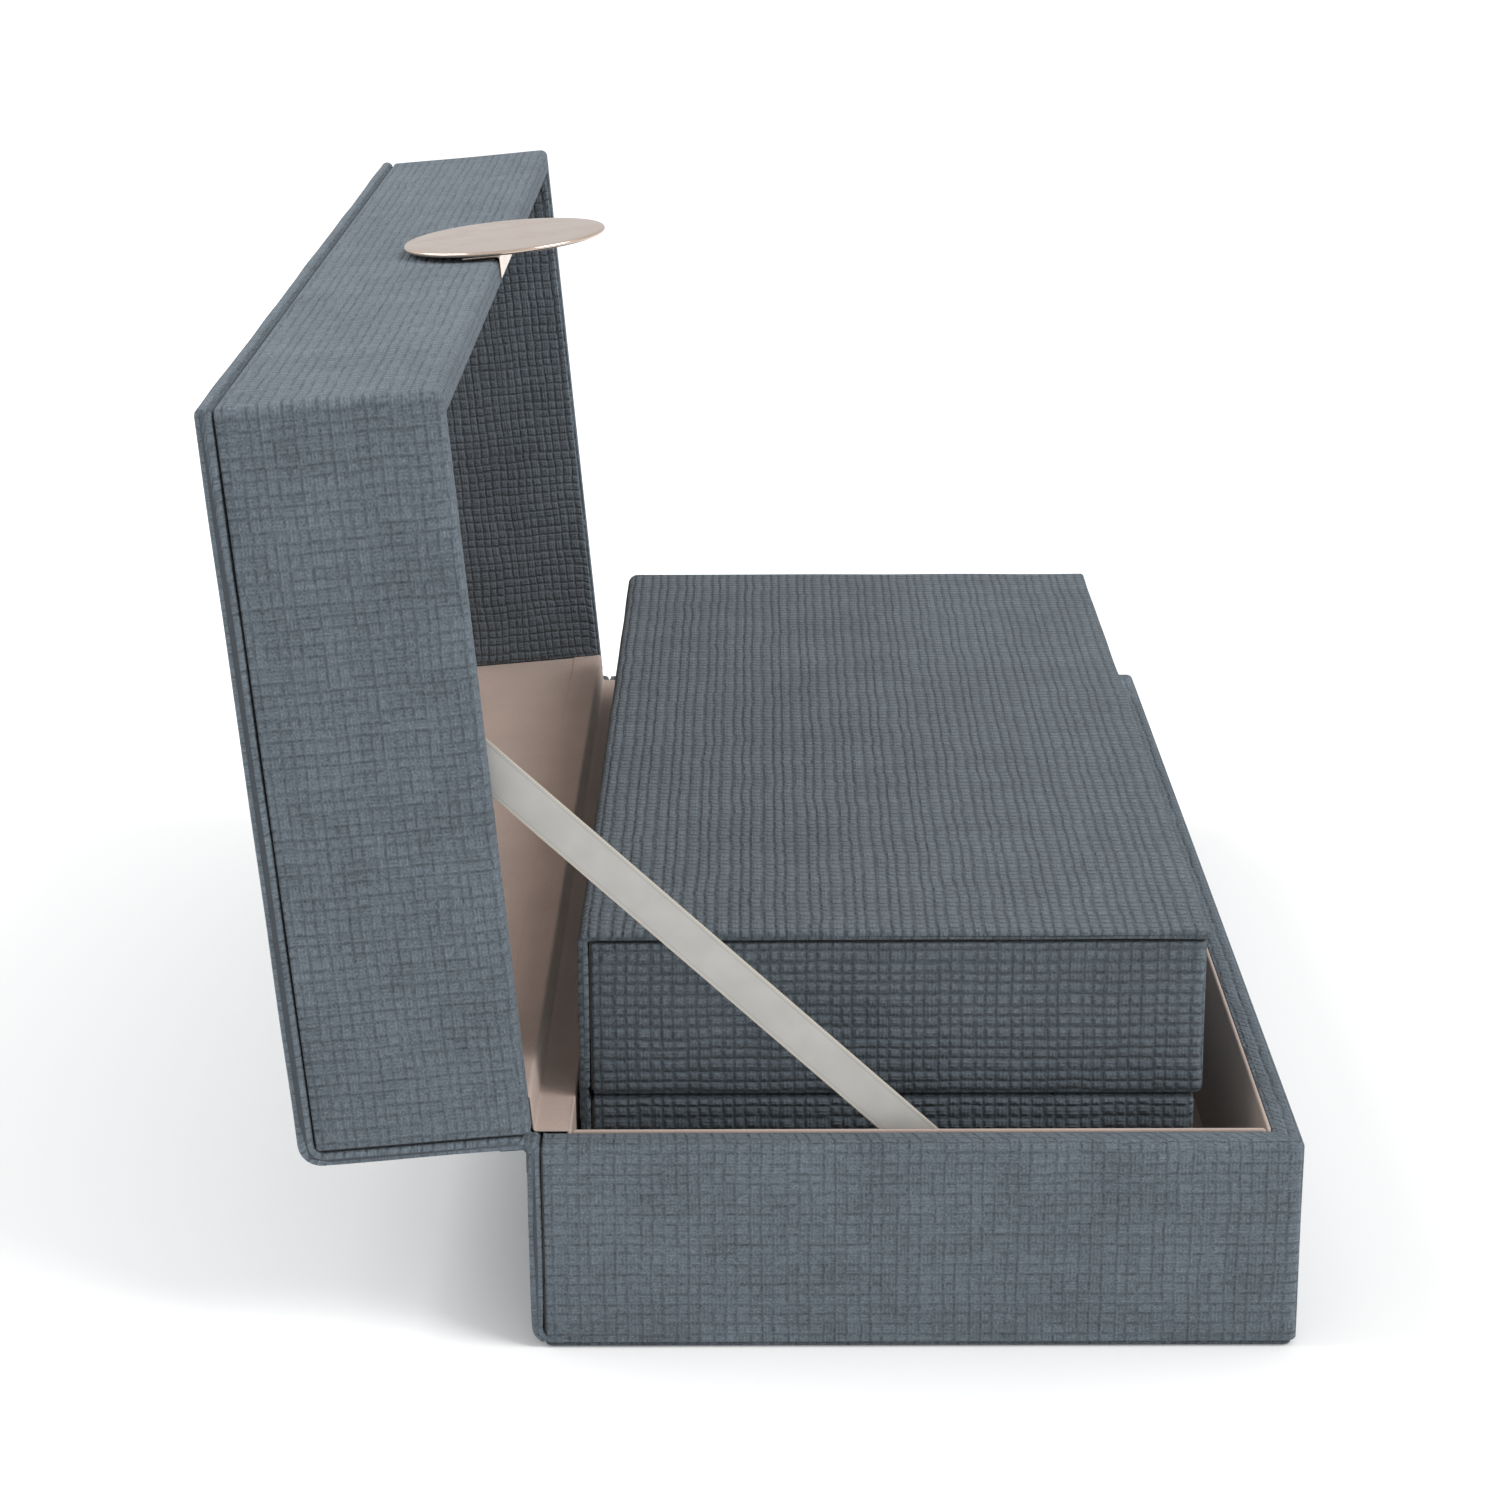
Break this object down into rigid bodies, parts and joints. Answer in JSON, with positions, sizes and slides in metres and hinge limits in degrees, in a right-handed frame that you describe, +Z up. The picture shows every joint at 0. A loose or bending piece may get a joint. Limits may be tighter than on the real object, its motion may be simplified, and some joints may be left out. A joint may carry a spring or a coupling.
{
  "type": "jewelry armoire",
  "caption": "Long book-style jewelry box, its hinged lid leaning back on a ribbon stay, with a smaller hinged box standing loose in its tray.",
  "frame": {"origin": "middle of the outer box's underside, on the surface it stands on", "axes": "+X along the box, from the end with the ribbon stay to the other end; -Y towards the front, away from the hinge; +Z up"},
  "size_m": [0.4132, 0.2619, 0.2473],
  "materials": {
    "suede": "blue-grey faux suede embossed with a small woven grid",
    "lining": "smooth pinkish-beige lining suede",
    "board": "raw fibreboard",
    "ribbon": "off-white satin with woven selvages",
    "clasp_metal": "polished rose-gold plate",
    "steel": "bright plated steel"
  },
  "bodies": {
    "base": {"base_underside_cover": "suede", "base_floor_board": "board", "base_front_board": "board", "base_back_board": "board", "base_left_board": "board", "base_right_board": "board", "base_wrap": "suede", "base_back_cover": "suede", "base_floor_lining": "lining", "base_front_lining": "lining", "base_back_lining": "lining", "base_left_lining": "lining", "base_right_lining": "lining", "base_hinge_lining": "lining", "closure_magnet": "steel", "ribbon_stay": "ribbon", "hinge_cloth": "suede"},
    "outer_lid": {"lid_top_cover": "suede", "lid_back_cover": "suede", "lid_top_board": "board", "lid_front_board": "board", "lid_back_board": "board", "lid_left_board": "board", "lid_right_board": "board", "lid_wrap": "suede", "lid_top_pad": "lining", "lid_front_facing": "suede", "lid_back_facing": "lining", "lid_left_facing": "suede", "lid_right_facing": "suede", "lid_hinge_lining": "lining", "clasp_disc": "clasp_metal", "clasp_bracket": "clasp_metal", "clasp_rivet_left": "steel", "clasp_rivet_right": "steel"},
    "inner_box": {"inner_base_floor_board": "board", "inner_base_front_board": "board", "inner_base_back_board": "board", "inner_base_left_board": "board", "inner_base_right_board": "board", "inner_base_wrap": "suede", "inner_base_back_cover": "suede", "inner_base_floor_lining": "lining", "inner_base_wall_lining": "lining", "divider_cross": "lining", "divider_long": "lining", "ring_roll_1": "lining", "ring_roll_2": "lining", "ring_roll_3": "lining", "ring_roll_4": "lining", "inner_hinge_cloth": "suede"},
    "inner_lid": {"inner_lid_top_board": "board", "inner_lid_front_board": "board", "inner_lid_back_board": "board", "inner_lid_left_board": "board", "inner_lid_right_board": "board", "inner_lid_wrap": "suede", "inner_lid_top_cover": "suede", "inner_lid_back_cover": "suede", "inner_lid_pad": "lining"}
  },
  "joints": [
    {"name": "outer_lid_hinge", "type": "hinge", "parent": "base", "child": "outer_lid", "pos_m": [0, 0.0935, 0.0553], "axis": [-1, 0, 0], "range_deg": [-95, 0], "deforming": ["ribbon_stay", "hinge_cloth"]},
    {"name": "inner_box_lift", "type": "slide", "parent": "base", "child": "inner_box", "axis": [0, -0.2164, 0.9763], "range_m": [0, 0.32]},
    {"name": "inner_lid_hinge", "type": "hinge", "parent": "inner_box", "child": "inner_lid", "pos_m": [0, 0.0817, 0.055], "axis": [-1, 0, 0], "range_deg": [0, 95], "deforming": ["inner_hinge_cloth"]}
  ],
  "couplings": [
    {"joint": "inner_lid_hinge", "follows": "inner_box_lift", "rad_per_m": 5.18}
  ]
}
